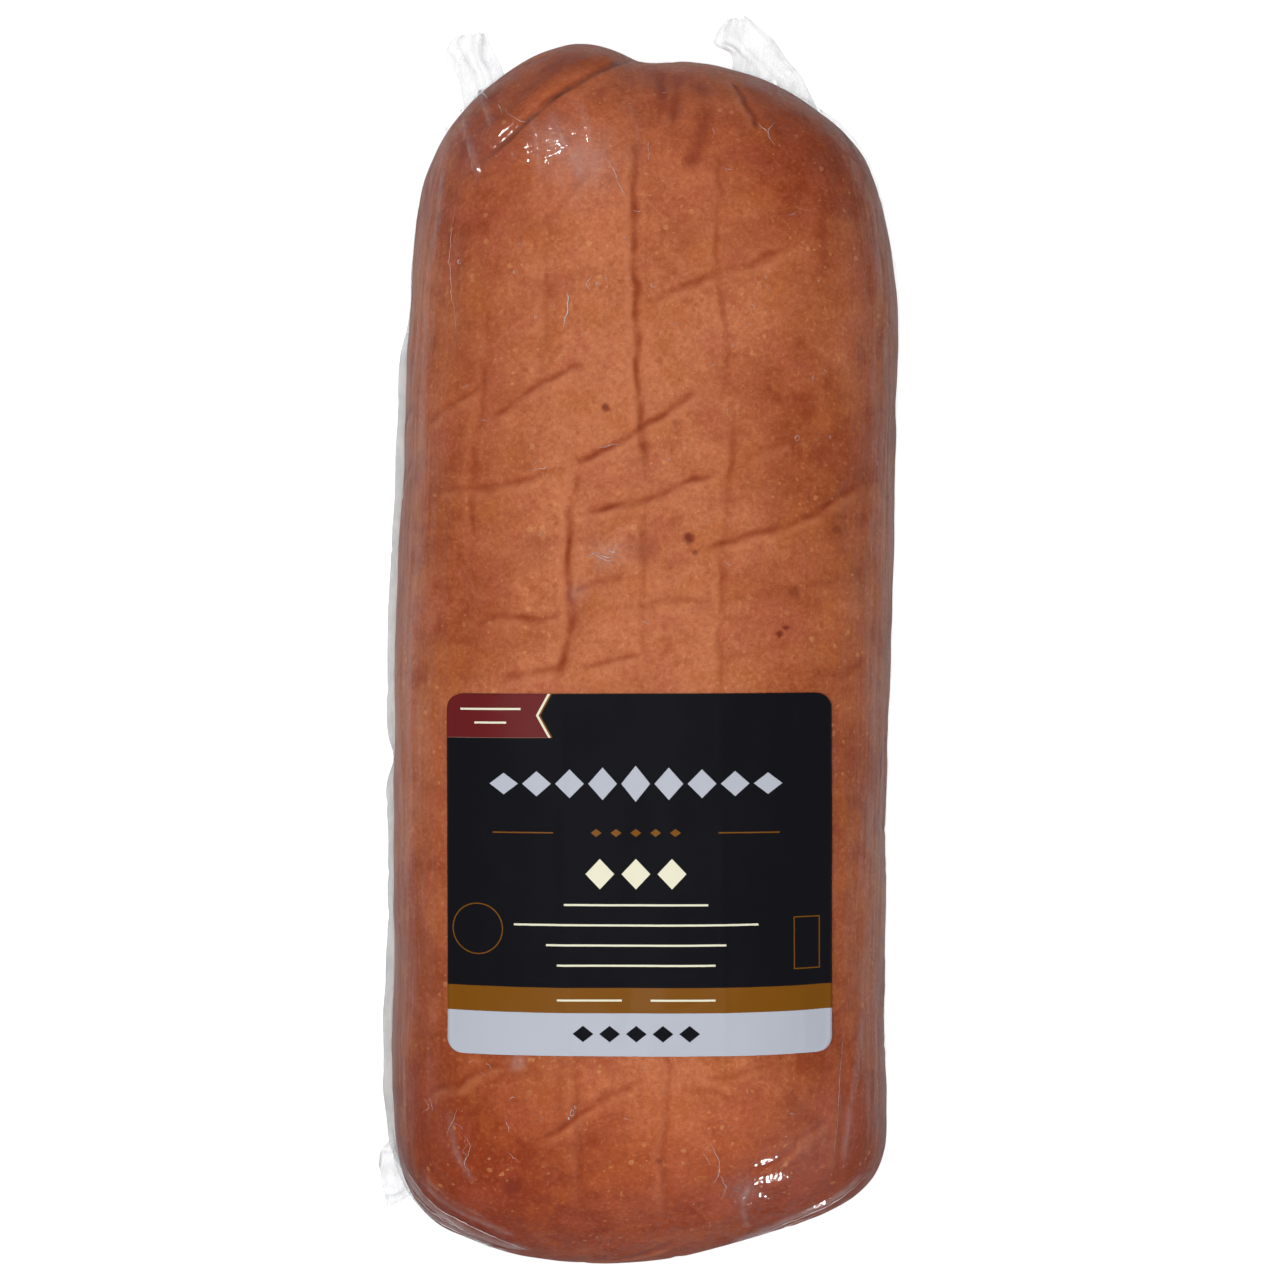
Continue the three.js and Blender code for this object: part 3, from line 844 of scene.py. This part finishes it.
# %% Hairlines and bubbles
RIB_HAZE, DOME_HAZE = 0.42, 0.02
BUBBLE_RIM = 0.13
STRAYS = 80
STRAY_STRETCHES = ((-156, -116), (0, 90), (90, 156))  # along the log, clear of the label
HAIRLINES = [  # half width in millimetres, and the line
    (0.28, -24.5, 96, -24.2, 91, -25, 86), (0.12, -17.5, 100, -19, 98, -18, 96),
    (0.1, -12.5, 25, -7.5, 23), (0.1, -10.5, 22, -8.5, 26), (0.12, -13.5, 23, -9.5, 22),
    (0.1, -16.5, 24, -12.5, 22, -9.5, 21), (0.1, -17.5, 22, -13.5, 24),
    (0.1, -34, 46, -30, 46.5, -28, 47), (0.1, -15, 52, -9, 54),
    (0.09, -50, -133, -50.4, -135.5, -51.6, -138, -53, -142),
    (0.11, -48, -140, -46.2, -142.6, -46.6, -146, -47.4, -149, -45.5, -153),
    (0.08, -46.6, -142, -47.6, -145, -47, -148), (0.07, -51, -137, -49.6, -137.6, -48, -139),
    (0.08, -36, -134, -35.6, -137, -34.6, -139), (0.09, -35.5, -144, -34.4, -145.2, -32, -147),
    (0.12, 21, -140, 23, -144, 24, -149, 22, -153), (0.1, 19, -143, 22, -147),
    (0.1, 24, -149, 26, -154, 25, -158), (0.05, 58.5, -108, 57.5, -120, 57, -134, 56, -148),
    (0.26, -68, -161, -60, -168.5, -51, -173.5, -42, -177, -34, -179),
    (0.2, -67, -153, -58, -163.5, -48, -169, -38, -173.5, -30, -177),
    (0.14, -69, -157, -61, -165, -52, -170.5, -45, -174), (0.12, -57, -166, -50, -170, -41, -175),
    (0.16, -47, -176, -43, -177, -41, -179),
    (0.24, 31, -175, 38, -171.5, 46, -167, 58, -161, 68, -152),
    (0.12, 41, -171, 49, -167, 56, -164),
    (0.7, -54, 160.5, -51.5, 157.5, -49.5, 154.5), (0.12, -43, 148, -40, 146, -37, 145),
    (0.14, -46, 152, -44, 148.5), (0.1, -57, 121, -58, 110, -57.5, 98, -55, 84),
    (0.12, 33, 147, 31, 143, 33, 139), (0.12, 31, 143, 28, 146),
    (0.1, -60, -132, -58, -134, -60, -136), (0.1, -58, -131, -57, -135),
    (0.12, -14, 133, -11, 127, -9, 122), (0.12, -3, 139, -2, 133),
]
BUBBLES = [  # across, along, radius; a bubble with a negative radius is a dome, any other a ring
    (40.5, 57, 0.55), (50, 58, 0.45), (-16, 98, 0.4), (-33, 89, 0.35), (-55, 105, 0.5),
    (-0.5, 98, 0.4), (-39, 101, 0.35), (17, 76, 0.3), (-17.5, -132.5, 0.75), (-16.6, -131, 0.4),
    (-18.4, -134, 0.3), (-17.2, -132.2, -0.6), (29, -154, -1.5), (31.5, -156, -0.9),
    (27.5, -156.5, -0.8), (33.5, -153.5, -0.7), (30.5, -151.5, -0.6), (38, -157.5, -0.8),
    (35.5, -155.5, -0.5), (26, -153, -0.5),
]


def on_film(x, y):
    """The point of the film's outer face over a place in plan, and the way out there."""
    above = Vector((x * MM, y * MM, film_high.z + 50 * MM))
    point, normal = film_tree.ray_cast(above, Vector((0, 0, -1)))[:2]
    return point + normal * FILM_THICK * MM, normal


def rib(bm, layer, half_width, line):
    """Adds a thin closed rib along a line; both of its ends taper to a point."""
    spots = eased(line, 7)
    rings = []
    for k, (x, y) in enumerate(spots):
        sway = noise.noise_vector(Vector((0.5 * x, 0.5 * y, 7))) * 0.7
        point, normal = on_film(x + sway.x, y + sway.y)
        ahead = spots[min(k + 1, len(spots) - 1)] - spots[max(k - 1, 0)]
        aside = normal.cross(Vector((*ahead, 0))).normalized()
        swell = half_width * MM * math.sin(math.pi * (0.04 + 0.92 * k / (len(spots) - 1)))
        swell *= 0.75 + 0.7 * noise.noise(Vector((1.3 * x, 1.3 * y, 0)))
        places = (point - aside * swell, point + normal * 0.8 * swell, point + aside * swell,
                  point - normal * 0.5 * swell)
        rings.append([bm.verts.new(place) for place in places])
    for first, second in zip(rings, rings[1:]):
        for j in range(4):
            bm.faces.new((first[j], first[j - 1], second[j - 1], second[j]))
    bm.faces.new(rings[0])
    bm.faces.new(rings[-1])
    for ring in rings:
        for vert in ring:
            vert[layer] = RIB_HAZE


def dome(bm, layer, x, y, radius):
    """Adds a low blister of clear film, closed underneath."""
    made = bmesh.ops.create_icosphere(bm, subdivisions=2, radius=radius * MM)["verts"]
    point, normal = on_film(x, y)
    bmesh.ops.scale(bm, verts=made, vec=(1, 1, 0.4))
    bmesh.ops.rotate(bm, verts=made, matrix=normal.to_track_quat("Z", "Y").to_matrix())
    bmesh.ops.translate(bm, verts=made, vec=point)
    for vert in made:
        vert[layer] = DOME_HAZE


def ring_line(x, y, radius):
    """Points round a circle."""
    turns = [2 * math.pi * k / 8 for k in range(9)]
    return [(x + radius * math.cos(turn), y + radius * math.sin(turn)) for turn in turns]


def film_marks():
    """All hairlines and bubbles in one mesh."""
    bm = bmesh.new()
    layer = bm.verts.layers.float.new("haze")
    for half_width, *line in HAIRLINES:
        rib(bm, layer, half_width, line)
    for x, y, radius in BUBBLES:
        if radius > 0:
            rib(bm, layer, BUBBLE_RIM, ring_line(x, y, radius))
        else:
            dome(bm, layer, x, y, -radius)
    for k in range(STRAYS):
        x = draw.uniform(-54, 54)
        y = draw.choice([draw.uniform(low, high) for low, high in STRAY_STRETCHES])
        turn, length = draw.uniform(0, math.tau), draw.uniform(0.8, 3.2)
        bend = draw.uniform(-0.6, 0.6)
        way = Vector((math.cos(turn), math.sin(turn)))
        line = [(x, y),
                (x + way.x * length / 2 - way.y * bend, y + way.y * length / 2 + way.x * bend),
                (x + way.x * length, y + way.y * length)]
        rib(bm, layer, draw.uniform(0.04, 0.09), line)
    bmesh.ops.recalc_face_normals(bm, faces=bm.faces)
    return mesh_from(bm, "film_marks")


marks = finished(film_marks(), "film_marks", film)
print("hairlines and bubbles:", len(marks.data.polygons), "faces")

# %% [markdown]
# At three corners the trimmed seal leaves an ear of spare film. An ear starts as a flat grid laid
# between two given edges in the seam's plane, each drawn from the root to the tip. Folds that
# fan out from its root and slow noise then crumple it, and its free edge is cut ragged.

# %% Ears
EARS = {  # both edges from root to tip in plan, the height of the crumples and the milkiness
    "ear_far_right": ([(21, 166), (22, 177), (16.5, 182.5), (21, 189.5)],
                      [(51, 154), (46, 167), (35, 182), (26, 190)], 4.0, 0.36),
    "ear_far_left": ([(-59, 157), (-60, 166), (-65, 177), (-60, 182.5)],
                     [(-45, 160), (-47, 170), (-50, 177), (-54, 183.5)], 3.5, 0.33),
    "ear_near_left": ([(-69, -150), (-74, -154), (-76.5, -157), (-77.5, -161)],
                      [(-63, -167), (-68, -171), (-72, -173.5), (-75, -174)], 3.0, 0.5),
}


def ear(name, first_edge, second_edge, crumple, milkiness, seed):
    """A crumpled patch of film between two edges, standing out of the seal."""
    bm = bmesh.new()
    haze = bm.verts.layers.float.new("haze")
    bmesh.ops.create_grid(bm, x_segments=90, y_segments=60, size=0.5)
    edges = [eased(edge, 10) for edge in (first_edge, second_edge)]
    shift = Vector((seed, seed, seed))
    for vert in bm.verts:
        u, v = vert.co.x + 0.5, vert.co.y + 0.5
        cut = 1 - 0.05 * (1 + noise.noise(Vector((9 * u, seed, 0))))
        cut -= 0.015 * noise.noise(Vector((31 * u, seed, 1)))
        at = min(v * cut, 1.0) * (len(edges[0]) - 1)
        row = min(int(at), len(edges[0]) - 2)
        start, end = (Vector(edge[row] + (at - row) * (edge[row + 1] - edge[row]))
                      for edge in edges)
        flat = start.lerp(end, u)
        flat = Vector((flat.x, flat.y, 0))
        fold = math.sin(12 * u + 3.5 * noise.noise(Vector((2 * u, 2 * v, seed))))
        rough = noise.noise(flat / 9 + shift) + 0.22 * noise.noise(flat / 4 + shift)
        rise = crumple * min(1.0, 2 * v) * (0.3 * fold + 0.9 * rough)
        sway = noise.noise_vector(flat / 6 - shift) * 1.5 * v * (1 - v)
        vert.co = (flat + Vector((sway.x, sway.y, rise))) * MM + Vector((0, 0, SEAM))
        # painted shade: the ear's edges and a line along each fold get more haze, which shows
        # greyer against the white table
        rim = max(0.0, 1 - 22 * min(u, 1 - u, 1 - v))
        ridge = max(0.0, 1 - 5 * abs(fold - 0.2) / (0.6 + v))
        vert[haze] = milkiness + 0.15 * ridge + 0.1 * rim
    bmesh.ops.recalc_face_normals(bm, faces=bm.faces)
    give_thickness(finished(mesh_from(bm, name), name, film), EAR_THICK)


for seed, (name, shape) in enumerate(EARS.items()):
    ear(name, *shape, 4.7 + 7.1 * seed)

# %% [markdown]
# The label is coated paper stuck on the film. It is stiffer than the film, so it bridges the fine
# creases and only follows the larger ones. It starts as a grid in plan with its corners pulled in
# to rounds; each vertex is then dropped onto the film, and the heights are smoothed between the
# vertices.

# %% Label
LABEL_CORNER = 4.2
LABEL_WRINKLES = (-21, 23, 45.5)  # lengthwise, across from the label's middle
LABEL_TURN = Matrix.Rotation(math.radians(1.5), 2)  # it was stuck on a little askew
LABEL_SHIFT = 0.35  # towards the far end
LABEL_THICK, LABEL_GAP = 0.15, 0.12
WRINKLE_HEIGHT, WRINKLE_WIDTH, WRINKLE_LEAN = 0.14, 1.1, 0.012
COLUMNS, ROWS = 120, 110
label_middle = (label_low + label_high) / 2
half_width = (label_high.x - label_low.x) / 2 / MM
half_length = (label_high.y - label_low.y) / 2 / MM


def label_row(share):
    """Where a row of the label lies, share from -1 to 1, and how much a round corner trims it."""
    reach = abs(share) * (half_length + 0.571 * LABEL_CORNER)
    straight = half_length - LABEL_CORNER
    turn = max(0.0, reach - straight) / LABEL_CORNER
    return (math.copysign(min(reach, straight) + LABEL_CORNER * math.sin(turn), share),
            LABEL_CORNER * (1 - math.cos(turn)))


bm = bmesh.new()
bmesh.ops.create_grid(bm, x_segments=COLUMNS, y_segments=ROWS, size=1.0, calc_uvs=True)
across_layer, along_layer = (bm.verts.layers.float.new(name) for name in ("across", "along"))
bm.verts.ensure_lookup_table()
for vert in bm.verts:
    y, trim = label_row(vert.co.y)
    x = vert.co.x * (half_width - trim)
    vert[across_layer], vert[along_layer] = x, y
    turned = LABEL_TURN @ Vector((x, y)) * MM
    above = label_middle + Vector((turned.x, turned.y + LABEL_SHIFT * MM, 50 * MM))
    hit = film_tree.ray_cast(above, Vector((0, 0, -1)))[0]
    vert.co = hit + Vector((0, 0, (FILM_THICK + LABEL_GAP) * MM))
film_heights = [vert.co.z for vert in bm.verts]
for step in range(10):
    bmesh.ops.smooth_vert(bm, verts=bm.verts, factor=0.5, use_axis_z=True)
for vert, height in zip(bm.verts, film_heights):
    vert.co.z = max(vert.co.z, height)
for step in range(2):
    bmesh.ops.smooth_vert(bm, verts=bm.verts, factor=0.4, use_axis_z=True)
for vert in bm.verts:
    vert.co.z += 0.1 * MM
    vert.co.z += 0.12 * MM * noise.noise(Vector((vert.co.x, 0.3 * vert.co.y, 0)) / (9 * MM))
    for wrinkle in LABEL_WRINKLES:
        far = vert[across_layer] - wrinkle + WRINKLE_LEAN * vert[along_layer]
        vert.co.z += WRINKLE_HEIGHT * MM * math.exp(-(far / WRINKLE_WIDTH) ** 2)
bmesh.ops.recalc_face_normals(bm, faces=bm.faces)
if sum(face.normal.z for face in bm.faces) < 0:
    bmesh.ops.reverse_faces(bm, faces=bm.faces)
label_mesh = mesh_from(bm, "label_sheet")

# %% [markdown]
# The print is drawn from the sheet's own flat coordinates, in millimetres from its middle: a black
# field, a gold band and a silver band along the foot, a dark red flag with a notched end in the
# upper corner, and thin gold rules. A label like this carries a name, small print and a mark or
# two; here their places hold rows of plain diamonds, plain rules, a bare ring and a bare frame.

# %% Print
BLACK = (0.004, 0.004, 0.006)
RED = (0.1, 0.009, 0.01)
GOLD = (0.15, 0.054, 0.003)
SILVER = (0.36, 0.378, 0.43)
CREAM = (0.62, 0.6, 0.46)
EDGE = 0.07  # softness of a printed edge
FOOT, HEAD = -half_length, half_length
SILVER_TOP, GOLD_TOP = FOOT + 12.0, FOOT + 19.0
FLAG_FOOT, FLAG_NOTCH, FLAG_END = HEAD - 12.2, HEAD - 6.0, 26.5 - half_width
FLAG_LAYERS = ((0.0, GOLD), (0.5, CREAM), (1.2, RED))  # how far in each colour starts
RULE_Y = HEAD - 38.8
MIDDLE = -1  # the print sits a little to the left
DIAMONDS = [  # how many, their spacing, along, half width, half height, height lost per step, ink
    (5, 5.5, RULE_Y + 0.18, 1.5, 1.1, 0, GOLD),
    (3, 10, HEAD - 50, 4.0, 4.2, 0, CREAM),
    (5, 7.4, FOOT + 6.2, 2.9, 2.3, 0, BLACK),
    (9, 9.2, HEAD - 25, 4.0, 5.0, 0.5, SILVER),
]
RULES = [  # middle across and along, half length, half width, ink
    (-32.5, RULE_Y + 0.175, 8.5, 0.175, GOLD), (30.5, RULE_Y + 0.175, 8.5, 0.175, GOLD),
    (MIDDLE, HEAD - 58.6, 20, 0.28, CREAM), (MIDDLE, HEAD - 64.2, 34, 0.28, CREAM),
    (MIDDLE, HEAD - 69.8, 25, 0.28, CREAM), (MIDDLE, HEAD - 75.4, 22, 0.28, CREAM),
    (-41.5, HEAD - 4.2, 8.5, 0.28, CREAM), (-41.5, HEAD - 8.0, 4.5, 0.28, CREAM),
    (-14, FOOT + 15.525, 9, 0.275, CREAM), (12, FOOT + 15.525, 9, 0.275, CREAM),
]


def inside(value, low, high):
    """1 where value lies between low and high."""
    return times(mask(value, low - EDGE, low + EDGE), mask(value, high + EDGE, high - EDGE))


label_print, tree, out = new_material("label_print")
across, along = stored(tree, "across"), stored(tree, "along")
colour = blend(inside(along, FOOT - 9, SILVER_TOP), BLACK, SILVER)
colour = blend(inside(along, SILVER_TOP, GOLD_TOP), colour, GOLD)
in_flag = mask(along, FLAG_FOOT - EDGE, FLAG_FOOT + EDGE)
flag_reach = sums("MULTIPLY_ADD", apart(along, FLAG_NOTCH), 0.55,
                  sums("SUBTRACT", FLAG_END, across))
for inset, ink in FLAG_LAYERS:
    flag = times(mask(flag_reach, inset - EDGE, inset + EDGE), in_flag)
    colour = blend(flag, colour, ink)
for count, spacing, y, wide, tall, less, ink in DIAMONDS:
    for step in range(-(count // 2), count // 2 + 1):
        top = tall - less * abs(step)
        aside = apart(across, spacing * step + MIDDLE)
        reach = sums("MULTIPLY_ADD", aside, top / wide, apart(along, y))
        colour = blend(mask(reach, top + EDGE, top - EDGE), colour, ink)
for x, y, reach, half, ink in RULES:
    rule = times(inside(across, x - reach, x + reach), inside(along, y - half, y + half))
    colour = blend(rule, colour, ink)
dx, dy = apart(across, -45.3), apart(along, -15.3)
ring = sums("SQRT", sums("MULTIPLY_ADD", dx, dx, times(dy, dy)))
colour = blend(inside(ring, 6.9, 7.2), colour, GOLD)
dx, dy = apart(across, 46.7), apart(along, -19.4)
frame_reach = sums("MAXIMUM", sums("SUBTRACT", dx, 3.6), sums("SUBTRACT", dy, 7.2))
colour = blend(inside(frame_reach, -0.15, 0.15), colour, GOLD)
sheen = cloud(millimetres(tree), 12, 5.0, 0.6)
fibre = cloud(millimetres(tree), 0.35, 2.0, 0.5)
rough = mask(sheen, 0.3, 0.7, 0.34, 0.38)
bump = add(tree, "Bump", {"Height": fibre, "Distance": 0.05 * MM, "Strength": 0.4})
shader = add(tree, "BsdfPrincipled", {
    "Base Color": colour, "Roughness": rough, "Specular IOR Level": 0.3, "Normal": bump.outputs[0],
})
tree.links.new(shader.outputs[0], out.inputs[0])
label = finished(label_mesh, "label_sheet", label_print)
give_thickness(label, LABEL_THICK)
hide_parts("label")
